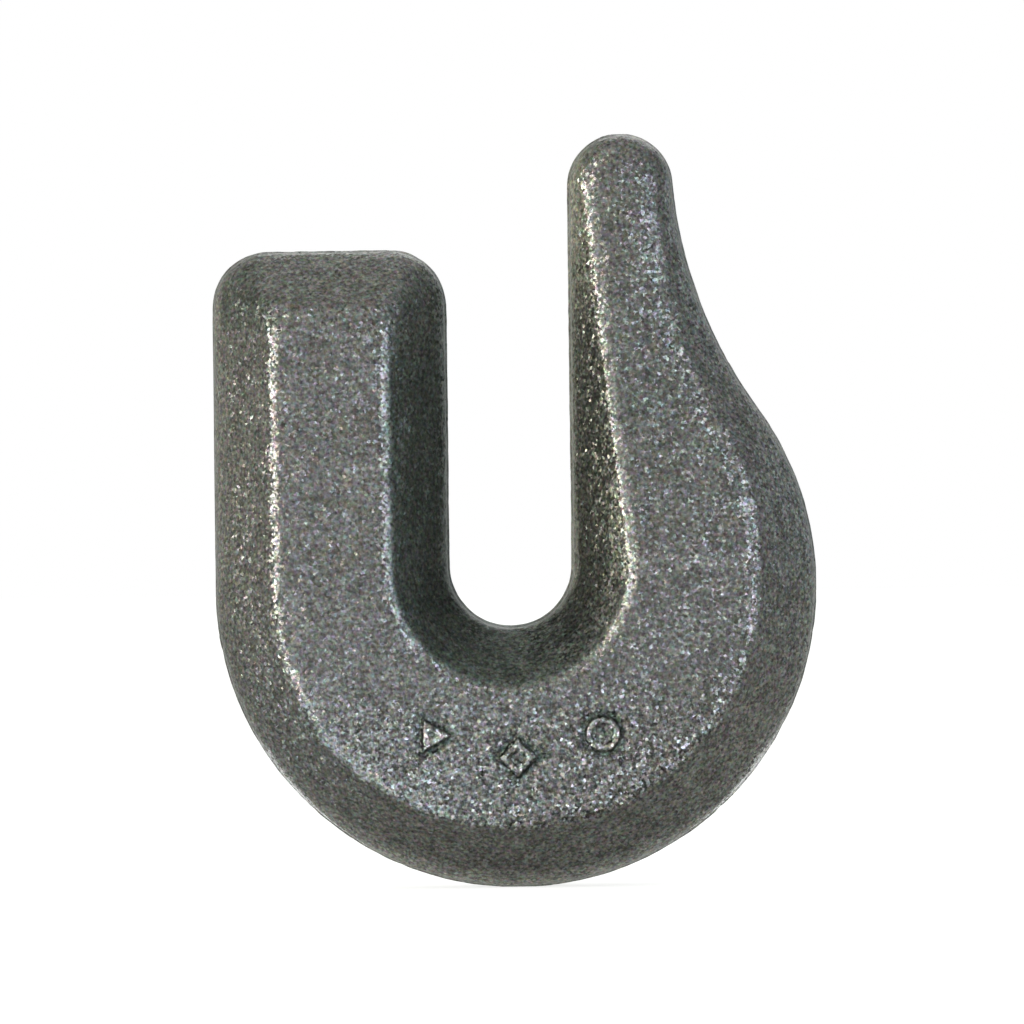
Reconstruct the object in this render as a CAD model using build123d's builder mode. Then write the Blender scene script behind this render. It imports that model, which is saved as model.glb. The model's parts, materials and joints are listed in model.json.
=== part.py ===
from build123d import *
from math import atan2, cos, degrees, hypot, radians, sin, tan
import os

# Weld-on safety chain hook for 10 mm (3/8 in) chain: one drop forging, a square-topped shank
# on the left, a U slot that opens upward, a round bowl below it and a tapering horn on the right.
# Millimetres. X runs across the hook, Z up, Y through its thickness; the front faces -Y.
# The origin is the centre of the flat outer side of the shank, the face that is welded on.

# Driving dimensions
SLOT_WIDTH = 12.0          # takes one 10 mm link edge-on
THICKNESS = 19.0           # over the two flat faces
LAND = 7.0                 # straight band left at the parting line, all round
BOWL_RADIUS = 29.4
SHANK_ABOVE_BOWL = 33.0    # bowl centre to the flat top of the shank
SHANK_CORNER = 5.4
SLOT_ABOVE_BOWL = 2.1      # bowl centre to the centre of the slot's round bottom
SLOT_LEFT_OF_BOWL = 0.5
HORN_ABOVE_BOWL = 39.0     # bowl centre to the centre of the horn's round nose
HORN_NOSE = 5.15           # radius of the nose
FLANK_RADIUS = 43.7        # hollow curve on the horn's outer side
HORN_SLOPE = 6.4           # degrees the horn's faces lean in toward the nose
CREASE_RADIUS = 12.0       # soft crease where that slope starts
FACE_EDGE = 1.8            # rounding between the faces and the bevels
RIM_EDGE = 2.5             # rounding between the bevels and the band
MARK_RADIUS = 1.9          # three plain raised marks on the front: triangle, diamond and round pip
MARK_HEIGHT = 0.4
MARK_EDGE = 0.2
MARK_RING = 16.6           # bowl centre to each mark
MARK_ANGLE = 30.0          # degrees between neighbouring marks

# Positions that follow from them
BEVEL = (THICKNESS - LAND) / 2
SLOT_HALF = SLOT_WIDTH / 2
bowl_x = BOWL_RADIUS
bowl_z = -(SHANK_ABOVE_BOWL - SHANK_CORNER) / 2
slot_x = bowl_x - SLOT_LEFT_OF_BOWL
slot_z = bowl_z + SLOT_ABOVE_BOWL
shank_side = slot_x - SLOT_HALF
shank_top = bowl_z + SHANK_ABOVE_BOWL
nose_x = slot_x + SLOT_HALF + HORN_NOSE
nose_z = bowl_z + HORN_ABOVE_BOWL
tip_z = nose_z + HORN_NOSE

# The hollow flank touches both the bowl and the nose, which fixes its centre
span = hypot(nose_x - bowl_x, nose_z - bowl_z)
to_bowl = BOWL_RADIUS + FLANK_RADIUS
to_nose = HORN_NOSE + FLANK_RADIUS
along = (to_bowl**2 - to_nose**2 + span**2) / (2 * span)
aside = (to_bowl**2 - along**2) ** 0.5
step_x = (nose_x - bowl_x) / span
step_z = (nose_z - bowl_z) / span
flank_x = bowl_x + along * step_x + aside * step_z
flank_z = bowl_z + along * step_z - aside * step_x
bowl_to_flank = atan2(flank_z - bowl_z, flank_x - bowl_x)
nose_to_flank = atan2(flank_z - nose_z, flank_x - nose_x)

# Cutters run this far past the metal
CLEAR = 1.0
NEAR = 0.01
deep = THICKNESS / 2 + CLEAR
flare = deep - LAND / 2


def flared(half):
    """Half section of a groove: straight through the band, opening at 45 degrees above and below."""
    return [
        (0, -deep),
        (half + flare, -deep),
        (half, -LAND / 2),
        (half, LAND / 2),
        (half + flare, deep),
        (0, deep),
    ]


def rounding(centre_x, centre_z, radius, outline):
    """Everything inside the outline except a disc of that radius with 45 degree bevels."""
    with BuildPart() as cut:
        with BuildSketch(Plane.XZ):
            Polygon(*outline, align=None)
        extrude(amount=deep, both=True)
        with BuildSketch(Plane.XY.offset(centre_z)):
            with Locations((centre_x, 0)):
                Polygon(
                    (0, -LAND / 2 - radius),
                    (radius, -LAND / 2),
                    (radius, LAND / 2),
                    (0, LAND / 2 + radius),
                    align=None,
                )
        revolve(axis=Axis((centre_x, 0, centre_z), (0, 1, 0)), mode=Mode.SUBTRACT)
    return cut.part


# Slot for the chain: round bottom, straight walls, flared to both faces
with BuildPart() as slot_cut:
    with BuildSketch(Plane.XY.offset(slot_z)):
        with Locations((slot_x, 0)):
            Polygon(*flared(SLOT_HALF), align=None)
    revolve(axis=Axis((slot_x, 0, slot_z), (0, 1, 0)))
    with BuildSketch(Plane.XY.offset(slot_z)):
        with Locations((slot_x, 0)):
            Polygon(*flared(SLOT_HALF), align=None)
        mirror(about=Plane.YZ.offset(slot_x))
    extrude(amount=tip_z + CLEAR - slot_z)

# Hollow outer flank of the horn
with BuildPart() as flank_cut:
    with BuildSketch(Plane.XY.offset(flank_z)):
        with Locations((flank_x, 0)):
            Polygon(*flared(FLANK_RADIUS), align=None)
    revolve(axis=Axis((flank_x, 0, flank_z), (0, 1, 0)))

# Round nose of the horn, up to where the flank takes over
reach = HORN_NOSE + CLEAR
nose_cut = rounding(
    nose_x,
    nose_z,
    HORN_NOSE,
    [
        (nose_x - reach, nose_z),
        (nose_x, nose_z),
        (nose_x + reach * cos(nose_to_flank), nose_z + reach * sin(nose_to_flank)),
        (nose_x + reach, tip_z + CLEAR),
        (nose_x - reach, tip_z + CLEAR),
    ],
)

# The two top corners of the shank
corner_z = shank_top - SHANK_CORNER
outer_corner_cut = rounding(
    SHANK_CORNER,
    corner_z,
    SHANK_CORNER,
    [
        (-CLEAR, corner_z),
        (SHANK_CORNER, corner_z),
        (SHANK_CORNER, shank_top + CLEAR),
        (-CLEAR, shank_top + CLEAR),
    ],
)
inner_corner_x = shank_side - SHANK_CORNER
inner_corner_cut = rounding(
    inner_corner_x,
    corner_z,
    SHANK_CORNER,
    [
        (inner_corner_x, corner_z),
        (shank_side + CLEAR, corner_z),
        (shank_side + CLEAR, shank_top + CLEAR),
        (inner_corner_x, shank_top + CLEAR),
    ],
)

# Slices off both faces of the horn, so that it thins toward the nose
lean_in = (tip_z + CLEAR - slot_z) * tan(radians(HORN_SLOPE))
with BuildPart() as slope_cut:
    with BuildSketch(Plane.YZ.offset(slot_x)) as slope_profile:
        Polygon(
            (THICKNESS / 2, slot_z - SLOT_HALF),
            (THICKNESS / 2, slot_z),
            (THICKNESS / 2 - lean_in, tip_z + CLEAR),
            (deep, tip_z + CLEAR),
            (deep, slot_z - SLOT_HALF),
            align=None,
        )
        crease = slope_profile.vertices().sort_by_distance((THICKNESS / 2, slot_z))[0]
        fillet(crease, radius=CREASE_RADIUS)
        mirror(about=Plane.YZ)
    extrude(amount=BOWL_RADIUS + CLEAR)

with BuildPart() as hook_body:
    # Shank and bowl: one plate with bevelled outer edges. Its two other edges meet at the bowl's
    # centre, on both faces, and stay square because the horn is built on from there
    with BuildSketch(Plane.XZ):
        with BuildLine():
            Polyline(
                (0, bowl_z),
                (0, shank_top),
                (bowl_x, shank_top),
                (bowl_x, bowl_z),
                (
                    bowl_x + BOWL_RADIUS * cos(bowl_to_flank),
                    bowl_z + BOWL_RADIUS * sin(bowl_to_flank),
                ),
            )
            CenterArc((bowl_x, bowl_z), BOWL_RADIUS, -180, 180 + degrees(bowl_to_flank))
        make_face()
    extrude(amount=THICKNESS / 2, both=True)
    face_edges = hook_body.faces().filter_by(Axis.Y).edges()
    cut_lines = face_edges.sort_by_distance((bowl_x, 0, bowl_z))[:4]
    chamfer(face_edges - cut_lines, length=BEVEL)

    # Horn: a full block from that line up, then everything that the cutters take away
    with BuildSketch(Plane.XZ):
        Polygon(
            (bowl_x, bowl_z),
            (
                bowl_x + (BOWL_RADIUS + flare) * cos(bowl_to_flank),
                bowl_z + (BOWL_RADIUS + flare) * sin(bowl_to_flank),
            ),
            (nose_x + reach + CLEAR, tip_z + CLEAR),
            (bowl_x, tip_z + CLEAR),
            align=None,
        )
    extrude(amount=THICKNESS / 2, both=True)
    add(slot_cut.part, mode=Mode.SUBTRACT)
    add(flank_cut.part, mode=Mode.SUBTRACT)
    add(nose_cut, mode=Mode.SUBTRACT)
    add(outer_corner_cut, mode=Mode.SUBTRACT)
    add(inner_corner_cut, mode=Mode.SUBTRACT)
    add(slope_cut.part, mode=Mode.SUBTRACT)

    # Round the faces into the bevels. The level lines lowest on the faces are the two sides of each
    # crease, which are smooth already
    facing = cos(radians(2 * HORN_SLOPE))
    face_edges = hook_body.faces().filter_by(lambda face: abs(face.normal_at().Y) > facing).edges()
    crease_lines = face_edges.filter_by(Axis.X).sort_by(Axis.Z)[:4]
    fillet(face_edges - crease_lines, radius=FACE_EDGE)

    # Round the bevels into the band
    rim_edges = hook_body.edges().filter_by(lambda edge: abs(abs(edge.center().Y) - LAND / 2) < NEAR)
    fillet(rim_edges, radius=RIM_EDGE)

    # Raised marks on the front, below the slot
    with BuildSketch(Plane.XZ.offset(THICKNESS / 2)):
        with Locations((bowl_x, bowl_z)):
            with PolarLocations(MARK_RING, 1, start_angle=-90 - MARK_ANGLE):
                RegularPolygon(MARK_RADIUS, side_count=3)
            with PolarLocations(MARK_RING, 1, start_angle=-90):
                RegularPolygon(MARK_RADIUS, side_count=4)
            with PolarLocations(MARK_RING, 1, start_angle=-90 + MARK_ANGLE):
                Circle(MARK_RADIUS)
    extrude(amount=MARK_HEIGHT)
    mark_tops = hook_body.faces().group_by(Axis.Y)[0]
    fillet(mark_tops.edges(), radius=MARK_EDGE)

hook_body.part.label = "hook_body"

os.makedirs("parts", exist_ok=True)
export_step(hook_body.part, "parts/hook_body.step")
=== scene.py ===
"""Looks of the forged safety chain hook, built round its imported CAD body.

Everything is in metres in the CAD frame: X across the hook, Z up, the marked face toward -Y.
"""
import json
import math

import bmesh
import bpy
import numpy as np
from mathutils import Euler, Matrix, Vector, noise


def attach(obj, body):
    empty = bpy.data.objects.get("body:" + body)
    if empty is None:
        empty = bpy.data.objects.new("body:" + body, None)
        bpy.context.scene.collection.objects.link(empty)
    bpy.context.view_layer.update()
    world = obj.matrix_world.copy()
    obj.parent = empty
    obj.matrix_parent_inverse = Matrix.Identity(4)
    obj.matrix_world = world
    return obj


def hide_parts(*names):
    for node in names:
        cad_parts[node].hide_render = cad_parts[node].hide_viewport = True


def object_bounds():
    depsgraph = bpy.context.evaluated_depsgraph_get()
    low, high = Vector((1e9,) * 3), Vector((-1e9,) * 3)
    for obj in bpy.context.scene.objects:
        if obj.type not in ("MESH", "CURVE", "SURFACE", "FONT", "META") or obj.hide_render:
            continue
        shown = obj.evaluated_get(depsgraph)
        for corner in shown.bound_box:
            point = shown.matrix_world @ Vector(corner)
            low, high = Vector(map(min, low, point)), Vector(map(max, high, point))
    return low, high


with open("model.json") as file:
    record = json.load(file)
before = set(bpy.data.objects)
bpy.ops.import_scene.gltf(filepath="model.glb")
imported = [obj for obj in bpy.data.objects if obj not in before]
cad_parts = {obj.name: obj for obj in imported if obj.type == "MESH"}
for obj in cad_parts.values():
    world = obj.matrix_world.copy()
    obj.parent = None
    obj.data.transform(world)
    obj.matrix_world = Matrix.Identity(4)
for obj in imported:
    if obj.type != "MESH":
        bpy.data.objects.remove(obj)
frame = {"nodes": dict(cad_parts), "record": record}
cad_low, cad_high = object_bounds()

MM = 0.001
LAND_HALF = 3.5 * MM                     # half the straight band left at the parting line
NODE = "hook_body"

# Sizes of the forging that the skin needs, read from the frame
face_y = cad_high.y                      # the back face; the front face mirrors it
mounts = {mount["name"]: Vector(mount["pos_m"]) for mount in frame["record"]["mounts"]}
slot_centre = mounts["chain_slot"]
shank_top = mounts["shank_top"]
bowl_radius = (cad_high.x - cad_low.x) / 2
bowl_centre = Vector((cad_low.x + bowl_radius, 0, cad_low.z + bowl_radius))
shank_right = 2 * shank_top.x
bevel = face_y - LAND_HALF
centre = (cad_low + cad_high) / 2

# Skin of the forging
VOXEL = 0.35 * MM
SMOOTH_ROUNDS = 4
SKIN_RISE = 0.04 * MM                    # makes up for what that smoothing takes off
BOX_INSET = 0.01 * MM                    # the skin stays this far inside the CAD box

# Its unevenness: how far apart the waves lie and how deep they go, from the broadest to the pits
BROAD_SIZE = 12 * MM
BROAD_DEPTH = 0.13 * MM
DENT_SIZE = 4.5 * MM
DENT_DEPTH = 0.07 * MM
LUMP_SIZE = 1.9 * MM
LUMP_DEPTH = 0.03 * MM
FINE_SIZE = 0.9 * MM
FINE_DEPTH = 0.022 * MM
PIT_SIZE = 1.4 * MM
PIT_DEPTH = 0.09 * MM

# The trimmed flash line round the band
FLASH_HALF = 0.8 * MM                    # half its width
FLASH_WAVE = 3 * MM                      # it wavers at this spacing
FLASH_WANDER = 0.25 * MM                 # and this far to each side
FLASH_STEP = 0.2 * MM                    # the metal beside it lies this much lower
FLASH_BLEND = 0.4 * MM                   # sinks over this width
FLASH_REACH = 2 * MM                     # and is back at its own level this far past the band

# Heights, in Z, at which changes of the skin begin and at which they are full
SHANK_BLUR = (8 * MM, 14 * MM)           # the shank's flat fades out softly at the top
HORN_BLUR = (0, 14 * MM)                 # the horn's edges blur toward the nose, above these starts
INNER_START = 6 * MM
OUTER_START = -14 * MM
CORNER_RISE = (11.5 * MM, 16 * MM)       # the shank's top corners are worn rounder
SHADE_RISE = (10.5 * MM, 13 * MM)         # and painted darker, as shade that tones down their highlight
TOP_RISE = (9 * MM, 12 * MM)             # the bevel at the shank's top stands prouder
HORN_FOOT = (-12 * MM, 0)                # the horn is fuller, and painted a little darker as shade, from the bowl up
HORN_FULL_TOP = (16 * MM, 4 * MM)        # fuller until here
HORN_SHADE_TOP = (23 * MM, 14 * MM)       # and its painted shade reaches until here
HORN_CALM = (0, 12 * MM)                 # its outer edge is calmer toward the nose
SLOT_LOW = (2 * MM, -14 * MM)            # the slot is calmer toward its bottom
SLOT_OPEN = (5 * MM, 15 * MM)            # and its painted shade is lighter toward its mouth

# Distances at which they begin and at which they are full
SLOT_PROUD = (13.2 * MM, 9 * MM)         # from the middle of the slot: its bevels stand prouder
SLOT_DARK = (14 * MM, 12.5 * MM)         # and its walls are painted darker, as shade
SLOT_BROWN = (-8 * MM, 2 * MM)           # up from the centre of its round bottom: painted warm light, browner
LEFT_WORN = (6.5 * MM, 2 * MM)           # in from the shank's left side: its corner is worn rounder
LEFT_SHADE = (7 * MM, 5 * MM)             # and painted darker, as shade
RIGHT_WORN = (5.5 * MM, 1.5 * MM)        # in from its right side
FLAT_COARSE = (8 * MM, 16 * MM)          # down from the bowl's centre: the flat is coarser
RIM_SHEEN = (5.6 * MM, 3.4 * MM)        # from the parting line: the rim under the bowl gets a painted reflection
CREASE_SHEEN = (0.7 * MM, 0.2 * MM)     # from the crease where the horn's slope starts: a painted highlight
CREASE_WANDER = 0.3 * MM                 # it wavers this far
NOT_ZERO = 0.1 * MM                      # distances that are divided by are at least this

# Depths below the bowl's centre, as parts of its radius
FOOT_SUNK = (0.7, 0.95)                  # the bevel under the bowl lies lower
FOOT_SHEEN = (0.6, 0.95)                # and the rim there gets a painted reflection

# Softened edges and the shank's worn corners
SOFT_TOP_ROUNDS = 26
SOFT_HORN_ROUNDS = 60
CORNER_WEAR = 0.08 * MM
CORNER_CUT = 0.5 * MM                    # the two corners of the shank's flat are shaved this deep
CORNER_LEAN = (0.2, -0.95, 0.22)         # and the shaved patch faces this way
CORNER_BLEND = 0.15 * MM                 # with an edge this soft

# How much prouder than cut the bevels stand beside the faces
SLOT_SWELL = 0.3 * MM
HORN_SWELL = 0.45 * MM
TOP_SWELL = 0.15 * MM
FOOT_SINK = 0.3 * MM                     # and how much lower the one under the bowl lies

# |Y| of the skin's normal tells the faces, at 1, from the bevels, at 0.71, and the band, at 0
OFF_BAND = (0.66, 0.75)                  # the bevels and all that faces further forward
OFF_FLAT = (0.98, 0.8)                   # the bevels and the roundings beside the faces
EDGE_BEGINS = (0.74, 0.88)               # those roundings only
EDGE_ENDS = (0.995, 0.97)

# Each seed reads the noise this much further on
SEED_STEP = (17.3, 5.1, 9.7)

# Three plain raised marks under the slot
MARK_RADIUS = 1.9 * MM
MARK_ROUND = 0.9 * MARK_RADIUS           # radius of the round one
MARK_HEIGHT = 0.36 * MM
MARK_RING = 16.6 * MM
MARK_ANGLE = 30.0
MARK_RISE = (-0.2 * MM, 0.25 * MM)       # they rise between these distances in from their outline
MARK_DIP = (0.45 * MM, 0.85 * MM)        # and sink again between these
MARK_GROOVE = -0.9 * MM                  # a shallow groove runs round them, out to here
MARK_WANDER = 0.1 * MM                   # their outline wavers this far
MARK_WAVE = 0.9 * MM                     # at this spacing
MARK_WORN = 1.2 * MM                     # and their worn spots lie this far apart
MARK_ZONE = 3.0 * MM                     # the mesh is finer this near to a mark
FACE_SKIN = 0.5 * MM                     # down to this depth

# Layout of the bake's UV map, in metres of skin
UV_NAME = "OFBake"
UV_ROW = 122 * MM                        # how wide a row of patches may be
UV_GAP = 0.8 * MM                        # room between patches
UV_FLAT = 0.5                            # steeper than this the skin goes to the strips
UV_CRUMB = 80                            # a patch with fewer faces joins a neighbour
UV_ROUNDS = 6                            # in so many rounds

# Finish of the steel
STEEL = (0.132, 0.130, 0.122)            # linear base colour of the dark scaled steel
SHADE_STEEL = (0.125, 0.146, 0.128)       # and the painted shade in the slot and on the other shaded spots
BROWN_STEEL = (0.195, 0.195, 0.165)      # and the painted warm light on the slot's right side
FACETS_PER_MM = 3.6
FACET_TILT = 0.31                        # how far the facets lean out of the surface
STEEP_TILT = 2.3                         # the steepest few lean this many times as far
COARSE_TILT = 1.45                       # and all of them this many times where the steel is coarse
CALM_TILT = 0.45                         # or calm
GRAIN_BUMP = 0.05 * MM
TINT = 0.4                               # strength of the small colour changes

# Studio: soft light from all round, with its level and how it grows toward +X, +Y and +Z
SKY_LEVEL = 0.61
SKY_LEAN = (-0.135, -0.02, 0.45)
SKY_LEFT = (0.97, 0.98, 0.87, 1)         # its colour at the left and at the right
SKY_RIGHT = (0.91, 0.98, 1.0, 1)
FLOOR_HALF = 4.0
CARD_LIFT = 0.5 * MM                     # the bright cards lie this far above the floor

# Camera: the width of its view at the hook, where it looks and how far it is tilted
VIEW_WIDTH = 100.3 * MM
VIEW_SHIFT = Vector((-0.3, 0, -0.1)) * MM
VIEW_TILT = 0.67


def grid_noise(points, size, seed, octaves=1):
    """Smooth noise, about -1 to 1, at each point. size is the spacing of its bumps."""
    shift = Vector([seed * step for step in SEED_STEP])
    scale = 1 / size
    return np.array(
        [noise.fractal(Vector(p) * scale + shift, 1.0, 2.0, octaves) for p in points]
    )


def smoothstep(low, high, value):
    """Rises smoothly from 0, where the value is low, to 1, where it is high. Low may be the larger."""
    t = np.clip((value - low) / (high - low), 0, 1)
    return t * t * (3 - 2 * t)


def vectors_of(collection, name):
    """A mesh's vertex data as an N x 3 array."""
    values = np.empty(len(collection) * 3)
    collection.foreach_get(name, values)
    return values.reshape(-1, 3)


def mark_places():
    """The three marks: X and Z of each, how far it is turned, and its sides, or 0 for a round one."""
    places = []
    for angle, sides in ((-90 - MARK_ANGLE, 3), (-90, 4), (-90 + MARK_ANGLE, 0)):
        turn = math.radians(angle)
        x = bowl_centre.x + MARK_RING * math.cos(turn)
        z = bowl_centre.z + MARK_RING * math.sin(turn)
        places.append((x, z, turn, sides))
    return places


def remeshed_copy(source, name):
    """An even, fine mesh of a CAD node with its raised marks pressed flat."""
    mesh = source.data.copy()
    coords = vectors_of(mesh.vertices, "co")
    coords[:, 1] = np.maximum(coords[:, 1], -face_y)
    mesh.vertices.foreach_set("co", coords.ravel())
    draft = bpy.data.objects.new(name + "_draft", mesh)
    bpy.context.scene.collection.objects.link(draft)
    remesh = draft.modifiers.new("remesh", "REMESH")
    remesh.mode = "VOXEL"
    remesh.voxel_size = VOXEL
    smooth = draft.modifiers.new("smooth", "SMOOTH")
    smooth.factor = 0.5
    smooth.iterations = SMOOTH_ROUNDS
    graph = bpy.context.evaluated_depsgraph_get()
    fine = bpy.data.meshes.new_from_object(draft.evaluated_get(graph))
    bpy.data.objects.remove(draft)
    bpy.data.meshes.remove(mesh)
    fine.name = name
    fine.materials.clear()
    piece = bpy.data.objects.new(name, fine)
    bpy.context.scene.collection.objects.link(piece)
    return piece


def refine_marks(mesh):
    """Splits the front's faces round each mark, so that the marks come out crisp."""
    grid = bmesh.new()
    grid.from_mesh(mesh)
    places = mark_places()
    near = []
    for edge in grid.edges:
        middle = (edge.verts[0].co + edge.verts[1].co) / 2
        if middle.y > -face_y + FACE_SKIN:
            continue
        if any(math.hypot(middle.x - x, middle.z - z) < MARK_ZONE for x, z, turn, sides in places):
            near.append(edge)
    bmesh.ops.subdivide_edges(grid, edges=near, cuts=2, use_grid_fill=True)
    grid.to_mesh(mesh)
    grid.free()


def neighbours(mesh):
    """The face that each corner belongs to, and the pairs of faces that share an edge."""
    sizes = np.empty(len(mesh.polygons), dtype=np.int64)
    mesh.polygons.foreach_get("loop_total", sizes)
    edges = np.empty(len(mesh.loops), dtype=np.int64)
    mesh.loops.foreach_get("edge_index", edges)
    face = np.repeat(np.arange(len(sizes)), sizes)
    order = np.argsort(edges, kind="stable")
    shared = edges[order][1:] == edges[order][:-1]
    return face, face[order][:-1][shared], face[order][1:][shared]


def patches(side, first, second):
    """Gives each patch of touching faces that look the same way its own number."""
    alike = side[first] == side[second]
    first = first[alike]
    second = second[alike]
    label = np.arange(len(side))
    while True:
        lowest = np.minimum(label[first], label[second])
        merged = label.copy()
        np.minimum.at(merged, first, lowest)
        np.minimum.at(merged, second, lowest)
        merged = merged[merged]
        if np.array_equal(merged, label):
            return label
        label = merged


def lay_out_bake(mesh):
    """UV map for the bake: the front and the back whole, and the band between them in strips."""
    coords = vectors_of(mesh.vertices, "co")
    normals = vectors_of(mesh.vertex_normals, "vector")
    face, first, second = neighbours(mesh)
    corners = np.empty(len(mesh.loops), dtype=np.int64)
    mesh.loops.foreach_get("vertex_index", corners)
    count = len(mesh.polygons)
    facing = np.stack([np.bincount(face, normals[corners, axis], count) for axis in range(3)], axis=1)
    facing /= np.linalg.norm(facing, axis=1)[:, None]

    # Which way each face looks: front, back, right, left, up or down
    side = np.where(
        np.abs(facing[:, 0]) > np.abs(facing[:, 2]),
        np.where(facing[:, 0] > 0, 2, 3),
        np.where(facing[:, 2] > 0, 4, 5),
    )
    side = np.where(facing[:, 1] < -UV_FLAT, 0, np.where(facing[:, 1] > UV_FLAT, 1, side))
    for _ in range(UV_ROUNDS):
        label = patches(side, first, second)
        crumb = np.bincount(label, minlength=count)[label] < UV_CRUMB
        into_first = crumb[first] & ~crumb[second]
        into_second = crumb[second] & ~crumb[first]
        side[first[into_first]] = side[second[into_first]]
        side[second[into_second]] = side[first[into_second]]
    label = patches(side, first, second)[face]
    side = side[face]

    # Each corner's place in its own patch, then the patches side by side in rows, tallest first
    spot = coords[corners]
    x, y, z = spot.T
    across = np.select([side == 0, side == 1, (side == 2) | (side == 3)], [x, -x, z], x)
    along = np.where(side < 2, z, y)
    boxes = []
    for number in np.unique(label):
        mine = np.flatnonzero(label == number)
        across[mine] -= across[mine].min()
        along[mine] -= along[mine].min()
        boxes.append((-along[mine].max(), -across[mine].max(), number, mine))
    at_x = UV_GAP
    at_z = UV_GAP
    row = 0
    for tall, wide, number, mine in sorted(boxes, key=lambda box: box[:3]):
        if at_x - wide + UV_GAP > UV_ROW:
            at_x = UV_GAP
            at_z += row + UV_GAP
            row = 0
        across[mine] += at_x
        along[mine] += at_z
        at_x += UV_GAP - wide
        row = max(row, -tall)
    scale = 1 / max(UV_ROW, at_z + row + UV_GAP)
    layer = mesh.uv_layers.new(name=UV_NAME)
    layer.data.foreach_set("uv", (np.stack([across, along], axis=1) * scale).ravel())


def soften(mesh, coords, weight, rounds):
    """Moves each vertex toward the middle of its neighbours, as far as its weight says, in rounds."""
    ends = np.empty(len(mesh.edges) * 2, dtype=np.int64)
    mesh.edges.foreach_get("vertices", ends)
    first, second = ends.reshape(-1, 2).T
    count = len(coords)
    joined = np.bincount(first, minlength=count) + np.bincount(second, minlength=count)
    joined = np.maximum(joined, 1)
    for _ in range(rounds):
        for axis in range(3):
            column = coords[:, axis]
            total = np.bincount(first, column[second], count)
            total += np.bincount(second, column[first], count)
            coords[:, axis] += 0.5 * weight * (total / joined - column)
    return coords


def mark_height(coords, front):
    """How far the marks stand out at each vertex, as rimmed shapes with a lower middle, and how much
    darker the steel is painted in their groove and middle."""
    height = np.zeros(len(coords))
    mark_dark = np.zeros(len(coords))
    for x, z, turn, sides in mark_places():
        dx = coords[:, 0] - x
        dz = coords[:, 2] - z
        if sides:
            reach = MARK_RADIUS * math.cos(math.pi / sides)
            out = np.full(len(coords), -1.0)
            for k in range(sides):
                way = turn + (2 * k + 1) * math.pi / sides
                out = np.maximum(out, dx * math.cos(way) + dz * math.sin(way))
            inside = reach - out
        else:
            inside = MARK_ROUND - np.hypot(dx, dz)
        inside = inside + MARK_WANDER * grid_noise(coords, MARK_WAVE, 11)
        edge = smoothstep(*MARK_RISE, inside)
        middle = smoothstep(*MARK_DIP, inside)
        groove = smoothstep(MARK_GROOVE, MARK_RISE[0], inside) * (1 - edge)
        worn = 1 + 0.3 * grid_noise(coords, MARK_WORN, 12)
        height += front * MARK_HEIGHT * (worn * edge * (1 - 0.8 * middle) - 0.4 * groove)
        mark_dark = np.maximum(mark_dark, front * np.maximum(groove, 0.5 * middle))
    return height, mark_dark


def blur_edges(mesh, coords, normals):
    """Blurs the faces' edges at the top of the shank and toward the nose of the horn."""
    off_band = smoothstep(*OFF_BAND, np.abs(normals[:, 1]))
    top = smoothstep(*SHANK_BLUR, coords[:, 2]) * (coords[:, 0] < slot_centre.x)
    coords = soften(mesh, coords, top * off_band, SOFT_TOP_ROUNDS)

    # The horn's outer edge blurs sooner and more than its inner one
    outer = smoothstep(-0.2, 0.2, normals[:, 0])
    above = coords[:, 2] - INNER_START - (OUTER_START - INNER_START) * outer
    upper = smoothstep(*HORN_BLUR, above) * (0.55 + 0.45 * outer)
    upper *= coords[:, 0] > slot_centre.x
    return soften(mesh, coords, upper * off_band, SOFT_HORN_ROUNDS)


def wear_corners(coords, normals, tilt):
    """Rounds the shank's two top corners and shaves the corners of its flat."""
    rise = smoothstep(*CORNER_RISE, coords[:, 2]) * (coords[:, 0] < slot_centre.x)
    wear = rise * smoothstep(*LEFT_WORN, coords[:, 0])
    wear += 0.8 * rise * smoothstep(*RIGHT_WORN, shank_right - coords[:, 0])
    sideways = normals * [1, 0, 1] / np.maximum(tilt, 0.2)[:, None]
    coords -= sideways * (CORNER_WEAR * wear * smoothstep(0.1, 0.6, tilt))[:, None]

    # The shave is soft-edged, left and right, front and back
    for x, way in ((bevel, -1), (shank_right - bevel, 1)):
        for side in (1, -1):
            lean = np.array(CORNER_LEAN) * (way, side, 1)
            lean /= np.linalg.norm(lean)
            corner = np.array((x, -side * face_y, shank_top.z - bevel))
            over = (coords - corner) @ lean + CORNER_CUT
            over = np.where(coords[:, 0] < slot_centre.x, over, -1.0)
            over = CORNER_BLEND * np.log1p(np.exp(np.minimum(over / CORNER_BLEND, 30)))
            coords -= over[:, None] * lean
    return coords


def to_slot(coords):
    """The way from each vertex to the middle of the slot, as its X and Z, and how long it is."""
    dx = slot_centre.x - coords[:, 0]
    dz = np.maximum(slot_centre.z - coords[:, 2], 0)
    return dx, dz, np.hypot(dx, dz)


def bevel_depth(coords, normals, level, tilt):
    """How much lower than cut the bevels lie beside the faces. They mostly stand prouder."""
    x, y, z = coords.T
    outward = smoothstep(LAND_HALF, face_y, np.abs(y)) * smoothstep(*OFF_FLAT, level)
    slot = smoothstep(*SLOT_PROUD, to_slot(coords)[2])
    foot = smoothstep(0.5, 0.8, -normals[:, 2] / np.maximum(tilt, 0.2))
    foot *= smoothstep(*FOOT_SUNK, (bowl_centre.z - z) / bowl_radius)
    horn = smoothstep(*HORN_FOOT, z) * smoothstep(*HORN_FULL_TOP, z)
    horn *= smoothstep(0.2, 0.6, normals[:, 0]) * (x > slot_centre.x)
    top = smoothstep(*TOP_RISE, z) * smoothstep(0.5, 0.8, normals[:, 2]) * (x < slot_centre.x)
    swell = SLOT_SWELL * slot + HORN_SWELL * horn + TOP_SWELL * top
    return outward * (FOOT_SINK * foot - swell)


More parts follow.
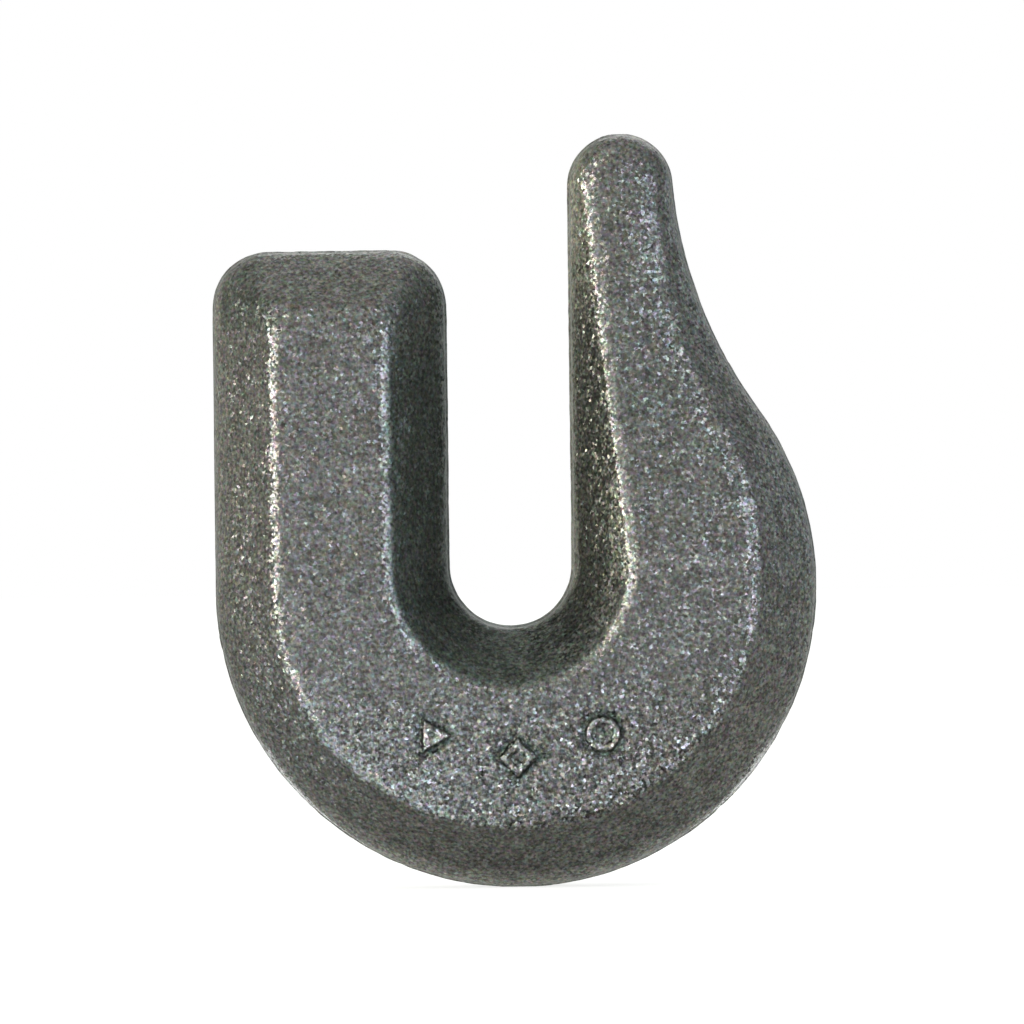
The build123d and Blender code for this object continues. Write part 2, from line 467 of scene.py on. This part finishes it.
def press_skin(piece):
    """Shapes the real skin: worn edges and corners, dents, pits, the flash line and the marks."""
    mesh = piece.data
    coords = vectors_of(mesh.vertices, "co")
    normals = vectors_of(mesh.vertex_normals, "vector")
    level = np.abs(normals[:, 1])
    tilt = np.hypot(normals[:, 0], normals[:, 2])
    coords = blur_edges(mesh, coords, normals)
    coords = wear_corners(coords, normals, tilt)

    broad = grid_noise(coords, BROAD_SIZE, 1)
    dents = grid_noise(coords, DENT_SIZE, 6, octaves=2)
    lumps = grid_noise(coords, LUMP_SIZE, 2, octaves=2)
    fine = grid_noise(coords, FINE_SIZE, 3, octaves=2)
    pits = smoothstep(0.32, 0.8, grid_noise(coords, PIT_SIZE, 4, octaves=2))
    bumpy = 0.3 + 0.7 * smoothstep(0.3, 0.7, level)
    depth = -SKIN_RISE - bumpy * (BROAD_DEPTH * broad + DENT_DEPTH * dents)
    depth += PIT_DEPTH * pits - LUMP_DEPTH * lumps - FINE_DEPTH * fine
    depth += bevel_depth(coords, normals, level, tilt)

    # The metal steps down beside the wavering flash line
    across = np.abs(coords[:, 1] + FLASH_WANDER * grid_noise(coords, FLASH_WAVE, 5))
    beside = smoothstep(FLASH_HALF, FLASH_HALF + FLASH_BLEND, across)
    beside *= 1 - smoothstep(LAND_HALF, LAND_HALF + FLASH_REACH, across)
    depth += FLASH_STEP * beside

    height, mark_dark = mark_height(coords, normals[:, 1] < -0.9)
    coords -= normals * (depth - height)[:, None]
    for axis in range(3):
        low_side = cad_low[axis] + BOX_INSET
        high_side = cad_high[axis] - BOX_INSET
        coords[:, axis] = np.clip(coords[:, axis], low_side, high_side)
    mesh.vertices.foreach_set("co", coords.ravel())
    mesh.polygons.foreach_set("use_smooth", np.ones(len(mesh.polygons), dtype=bool))
    mesh.update()

    darken(mesh, coords, normals, level, mark_dark)
    brighten(mesh, coords, normals, level, across, broad, height)


def darken(mesh, coords, normals, level, mark_dark):
    """Stores where shade is painted darker, where warm light is painted browner, and where the facets
    lie calmer.
    """
    x = coords[:, 0]
    z = coords[:, 2]
    horn = x > slot_centre.x
    dx, dz, away = to_slot(coords)
    facing = (normals[:, 0] * dx + normals[:, 2] * dz) / np.maximum(away, NOT_ZERO)
    in_slot = smoothstep(0.25, 0.65, facing) * smoothstep(*SLOT_DARK, away)

    # Its facets lie calmer low in the slot and on the horn's outer edge
    outer = 0.6 * smoothstep(*HORN_CALM, z) * horn * smoothstep(0.05, 0.25, normals[:, 0])
    store(mesh, "calm", np.maximum(in_slot * smoothstep(*SLOT_LOW, z), outer))

    # Painted warm light: the slot's right side, which faces the key light, is browner and lighter
    brown = smoothstep(*SLOT_BROWN, z - slot_centre.z) * smoothstep(0.45, 0.7, facing)
    store(mesh, "painted_warm_light", brown * in_slot * smoothstep(-0.3, -0.6, normals[:, 0]))

    # Painted shade: darker in the slot, mostly on the left and at the bottom, on the shank's top left
    # corner and a little on the horn's flat; and darker in and round the marks
    painted_shade = in_slot * (0.43 + 0.3 * normals[:, 0] + 0.3 * np.maximum(normals[:, 2], 0))
    painted_shade *= 1 - 0.5 * smoothstep(*SLOT_OPEN, z)
    # Painted shade on the shank's top left corner tones down its highlight, and a little on the horn's
    # flat
    shade_patches = 0.9 * smoothstep(*SHADE_RISE, z) * smoothstep(*LEFT_SHADE, x)
    shade_patches *= smoothstep(0.1, 0.4, -normals[:, 0]) * smoothstep(0.6, 0.8, level)
    on_horn = smoothstep(*HORN_FOOT, z) * smoothstep(*HORN_SHADE_TOP, z)
    shade_patches += 0.09 * on_horn * horn * (level > 0.95)
    store(mesh, "painted_shade", np.maximum(np.maximum(painted_shade, 0.8 * mark_dark), shade_patches))


def brighten(mesh, coords, normals, level, across, broad, height):
    """Stores where the metal is painted lighter, as wear and as painted highlight and reflection, and
    where it is coarser.
    """
    x, y, z = coords.T
    horn = x > slot_centre.x
    depth_down = (bowl_centre.z - z) / bowl_radius

    # The faces' edges: a little wear all round, and a painted highlight, most of all beside the slot and
    # least on the horn's outer side
    painted_highlight = 0.18 * horn * smoothstep(-0.05, -0.3, normals[:, 0])
    painted_highlight += 0.15 * ~horn * smoothstep(0.05, 0.3, normals[:, 0])
    outer = smoothstep(-0.2, 0.2, normals[:, 0]) * horn
    on_edge = smoothstep(*EDGE_BEGINS, level) * smoothstep(*EDGE_ENDS, level)
    edge = (0.16 + painted_highlight - 0.1 * outer) * on_edge

    # A painted reflection on the rim under the bowl, and the lighter flash line
    foot = smoothstep(*RIM_SHEEN, np.abs(y)) * smoothstep(*FOOT_SHEEN, depth_down)
    flash = 0.12 * smoothstep(FLASH_HALF + FLASH_BLEND / 2, FLASH_HALF - FLASH_BLEND / 2, across)
    edge = np.maximum(np.maximum(edge, foot), flash)

    # A painted highlight on the crease where the horn's slope starts, and lighter rims on the marks
    crease = np.abs(z - slot_centre.z - CREASE_WANDER * broad)
    crease = smoothstep(*CREASE_SHEEN, crease) * smoothstep(0.9, 0.97, level)
    edge = np.maximum(edge, 0.22 * crease * (x > 2 * slot_centre.x - shank_right))
    store(mesh, "edge", np.maximum(edge, 0.6 * smoothstep(0.3, 0.8, height / MARK_HEIGHT)))

    # The flat below the slot is coarser than the rest, except at its left edge
    coarse = smoothstep(*FLAT_COARSE, bowl_centre.z - z) * smoothstep(0.8, 0.95, level)
    coarse *= 1 - 0.8 * smoothstep(0.08, 0.25, -normals[:, 0])
    store(mesh, "coarse", coarse)


def store(mesh, name, values):
    """Keeps one number for each vertex, for the material to read."""
    layer = mesh.attributes.new(name, "FLOAT", "POINT")
    layer.data.foreach_set("value", values.astype(np.float32))


forging = remeshed_copy(frame["nodes"][NODE], "hook_forging")
refine_marks(forging.data)
lay_out_bake(forging.data)
press_skin(forging)


# ---------------------------------------------------------------- material
class Nodes:
    """Short ways to add shader nodes to one tree."""

    def __init__(self, owner):
        owner.use_nodes = True
        self.tree = owner.node_tree
        self.tree.nodes.clear()

    def add(self, kind, **sockets):
        """A node, with the sockets given by name set or linked."""
        made = self.tree.nodes.new(kind)
        for name, value in sockets.items():
            self.give(made.inputs[name.replace("_", " ")], value)
        return made

    def give(self, socket, value):
        """Sets a socket, or links an output to it."""
        if isinstance(value, bpy.types.NodeSocket):
            self.tree.links.new(value, socket)
        else:
            socket.default_value = value

    def math(self, operation, first, second):
        made = self.add("ShaderNodeMath")
        made.operation = operation
        self.give(made.inputs[0], first)
        self.give(made.inputs[1], second)
        return made.outputs[0]

    def vector(self, operation, first, second=None, scale=None):
        """Vector math on one or two vectors, or on a vector and a number."""
        made = self.add("ShaderNodeVectorMath")
        made.operation = operation
        self.give(made.inputs[0], first)
        if second is not None:
            self.give(made.inputs[1], second)
        if scale is not None:
            self.give(made.inputs["Scale"], scale)
        return made.outputs["Value" if operation == "DOT_PRODUCT" else "Vector"]

    def spread(self, value, to_low, to_high, low=0.0, high=1.0):
        """Maps low to to_low and high to to_high, and holds the value at those ends."""
        made = self.add("ShaderNodeMapRange", Value=value, From_Min=low, From_Max=high)
        self.give(made.inputs["To Min"], to_low)
        self.give(made.inputs["To Max"], to_high)
        return made.outputs["Result"]

    def mix(self, factor, first, second, blend="MIX"):
        """Mixes two colours."""
        made = self.add("ShaderNodeMix")
        made.data_type = "RGBA"
        made.blend_type = blend
        self.give(made.inputs[0], factor)
        self.give(made.inputs[6], first)
        self.give(made.inputs[7], second)
        return made.outputs[2]

    def stored(self, name):
        """The number that store() kept for each vertex under this name."""
        made = self.add("ShaderNodeAttribute")
        made.attribute_name = name
        return made.outputs["Fac"]


def forged_steel():
    """Shot-blasted forging skin: dark scale broken up by small bright facets."""
    material = bpy.data.materials.new("forged_steel")
    n = Nodes(material)
    where = n.vector("SCALE", n.add("ShaderNodeTexCoord").outputs["Object"], scale=1 / MM)

    facets = n.add("ShaderNodeTexVoronoi", Vector=where, Scale=FACETS_PER_MM).outputs["Color"]
    facet_grey = n.add("ShaderNodeSeparateColor", Color=facets).outputs[0]
    chance = n.add("ShaderNodeTexWhiteNoise", Vector=facets).outputs["Value"]
    grain = n.add("ShaderNodeTexNoise", Vector=where, Scale=3.0, Detail=2.0, Roughness=0.6)
    grain = grain.outputs["Fac"]
    stains = n.add("ShaderNodeTexNoise", Vector=where, Scale=0.55, Detail=4.0, Roughness=0.65)
    tints = n.add("ShaderNodeTexNoise", Vector=where, Scale=2.5, Detail=1.0)
    painted_shade = n.stored("painted_shade")
    edge = n.stored("edge")
    coarse = n.stored("coarse")
    calm = n.stored("calm")
    painted_warm_light = n.stored("painted_warm_light")

    # Brightness: each facet its own grey, darker in the dips of the grain and in stains, and darker
    # still under the painted shade
    bright = n.spread(facet_grey, 0.58, 1.4)
    bright = n.math("MULTIPLY", bright, n.spread(grain, 0.5, 1.48, low=0.3, high=0.7))
    bright = n.math("POWER", bright, n.spread(coarse, 1.0, 1.8))
    bright = n.math("MULTIPLY", bright, n.spread(stains.outputs["Fac"], 0.8, 1.2, low=0.3, high=0.7))
    # Painted shade: the slot and the other shaded spots are darker and take a cooler colour
    bright = n.math("MULTIPLY", bright, n.spread(painted_shade, 1.0, 0.32))
    # Painted highlight and reflection, with a little wear, lighten the edges
    bright = n.math("MULTIPLY", bright, n.spread(edge, 1.0, 2.2))
    steel = n.mix(painted_shade, (*STEEL, 1), (*SHADE_STEEL, 1))
    # Painted warm light on the slot's right side
    steel = n.mix(painted_warm_light, steel, (*BROWN_STEEL, 1))
    steel = n.mix(TINT, steel, tints.outputs["Color"], blend="OVERLAY")
    colour = n.vector("SCALE", steel, scale=bright)

    # Each facet leans its own way out of the grain's bumps
    bump = n.add("ShaderNodeBump", Strength=1.0, Distance=GRAIN_BUMP, Height=grain)
    steep = n.math("POWER", chance, 3.0)
    lean = n.vector("SUBTRACT", facets, (0.5, 0.5, 0.5))
    lean = n.vector("SCALE", lean, scale=n.spread(steep, FACET_TILT, STEEP_TILT * FACET_TILT))
    lean = n.vector("SCALE", lean, scale=n.spread(coarse, 1.0, COARSE_TILT))
    lean = n.vector("SCALE", lean, scale=n.spread(calm, 1.0, CALM_TILT))
    normal = n.vector("NORMALIZE", n.vector("ADD", bump.outputs["Normal"], lean))

    rough = n.math("ADD", n.spread(steep, 0.32, 0.34), n.spread(painted_shade, 0.0, 0.1))
    shader = n.add(
        "ShaderNodeBsdfPrincipled", Base_Color=colour, Metallic=1.0, Normal=normal, Roughness=rough
    )
    n.add("ShaderNodeOutputMaterial", Surface=shader.outputs["BSDF"])
    return material


forging.data.materials.append(forged_steel())
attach(forging, "root")
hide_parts(NODE)


# ---------------------------------------------------------------- studio
def floor_material():
    """Pale floor, as white as the background to the camera's own rays and dimmer in reflections."""
    material = bpy.data.materials.new("pale_floor")
    n = Nodes(material)
    matte = n.add("ShaderNodeBsdfDiffuse", Color=(0.4, 0.4, 0.4, 1))
    seen = n.add("ShaderNodeLightPath").outputs["Is Camera Ray"]
    tint = n.add("ShaderNodeCombineColor", Red=n.spread(seen, 0.96, 1.0), Green=1.0)
    n.give(tint.inputs["Blue"], n.spread(seen, 0.92, 0.99))
    glow = n.add("ShaderNodeEmission", Color=tint.outputs[0], Strength=n.spread(seen, 0.37, 0.78))
    both = n.add("ShaderNodeAddShader")
    n.give(both.inputs[0], matte.outputs[0])
    n.give(both.inputs[1], glow.outputs[0])
    n.add("ShaderNodeOutputMaterial", Surface=both.outputs[0])
    return material


def add_floor():
    half = FLOOR_HALF
    mesh = bpy.data.meshes.new("floor")
    corners = [(-half, -half), (half, -half), (half, half), (-half, half)]
    mesh.from_pydata([(x, y, cad_low.z) for x, y in corners], [], [(0, 1, 2, 3)])
    floor = bpy.data.objects.new("floor", mesh)
    bpy.context.scene.collection.objects.link(floor)
    mesh.materials.append(floor_material())


def lamp(name, place, turn, size, radiance, colour):
    """A rectangular area light of this width and height. It shines along its own -Z."""
    light = bpy.data.lights.new(name, "AREA")
    light.shape = "RECTANGLE"
    light.size, light.size_y = size
    light.energy = radiance * math.pi * size[0] * size[1]
    light.color = colour
    placed = bpy.data.objects.new(name, light)
    placed.location = place
    placed.rotation_euler = turn
    placed.visible_camera = False
    bpy.context.scene.collection.objects.link(placed)


def softbox(name, azimuth, elevation, distance, size, radiance, colour):
    """A soft light that faces the hook. Azimuth 0 is the camera's side and 90 the hook's right."""
    a = math.radians(azimuth)
    e = math.radians(elevation)
    away = Vector((math.sin(a) * math.cos(e), -math.cos(a) * math.cos(e), math.sin(e)))
    lamp(name, centre + away * distance, away.to_track_quat("Z", "Y").to_euler(), size, radiance, colour)


def card(name, x, y, size, radiance, colour):
    """A bright card that lies on the floor beside the hook and lights its underside."""
    lamp(name, (x, y, cad_low.z + CARD_LIFT), (math.pi, 0, 0), size, radiance, colour)


def add_world():
    """White behind the hook. The light it sends is softer, and stronger from above and the left."""
    world = bpy.data.worlds.new("studio")
    bpy.context.scene.world = world
    n = Nodes(world)
    way = n.add("ShaderNodeTexCoord").outputs["Generated"]
    level = n.math("ADD", n.vector("DOT_PRODUCT", way, SKY_LEAN), SKY_LEVEL)
    side = n.math("ADD", n.vector("DOT_PRODUCT", way, (0.5, 0, 0)), 0.5)
    colour = n.mix(side, SKY_LEFT, SKY_RIGHT)
    soft = n.add("ShaderNodeBackground", Color=colour, Strength=level)
    seen = n.add("ShaderNodeBackground", Color=(1, 1, 1, 1))
    mix = n.add("ShaderNodeMixShader", Fac=n.add("ShaderNodeLightPath").outputs["Is Camera Ray"])
    n.give(mix.inputs[1], soft.outputs[0])
    n.give(mix.inputs[2], seen.outputs[0])
    n.add("ShaderNodeOutputWorld", Surface=mix.outputs[0])


def add_camera():
    """Straight on, through a long lens. The hook leans slightly to the left in its view."""
    data = bpy.data.cameras.new("camera")
    data.lens = 400
    data.sensor_width = 36
    data.clip_start = 0.01
    data.clip_end = 100
    distance = VIEW_WIDTH * data.lens / data.sensor_width
    target = centre + VIEW_SHIFT
    camera = bpy.data.objects.new("camera", data)
    camera.location = (target.x, -distance, target.z)
    camera.rotation_euler = Euler((math.radians(90), math.radians(VIEW_TILT), 0))
    bpy.context.scene.collection.objects.link(camera)
    bpy.context.scene.camera = camera


add_floor()
add_world()
softbox("key", -46, -3, 0.42, (0.15, 0.26), 18.5, (1.0, 0.97, 0.92))
softbox("fill", 38, -4, 0.55, (0.28, 0.28), 9.0, (0.82, 0.91, 1.08))
softbox("front", -2, -5, 0.38, (0.11, 0.08), 3.7, (0.85, 0.91, 1.12))
softbox("top", -5, 42, 0.5, (0.25, 0.15), 0.6, (1.0, 0.98, 0.94))
softbox("left_rim", -118, 4, 0.6, (0.3, 0.4), 1.05, (0.97, 0.93, 0.76))
softbox("right_rim", 118, 4, 0.6, (0.3, 0.4), 0.75, (0.80, 0.95, 1.0))
softbox("back", 165, 35, 0.8, (0.5, 0.5), 0.9, (1.0, 1.0, 1.0))
card("front_card", 0.0, -0.036, (0.055, 0.04), 1.7, (0.78, 0.93, 1.1))
card("back_card", 0.03, 0.04, (0.09, 0.05), 1.8, (0.96, 0.98, 1.0))
add_camera()
bpy.context.scene.view_settings.view_transform = "Standard"
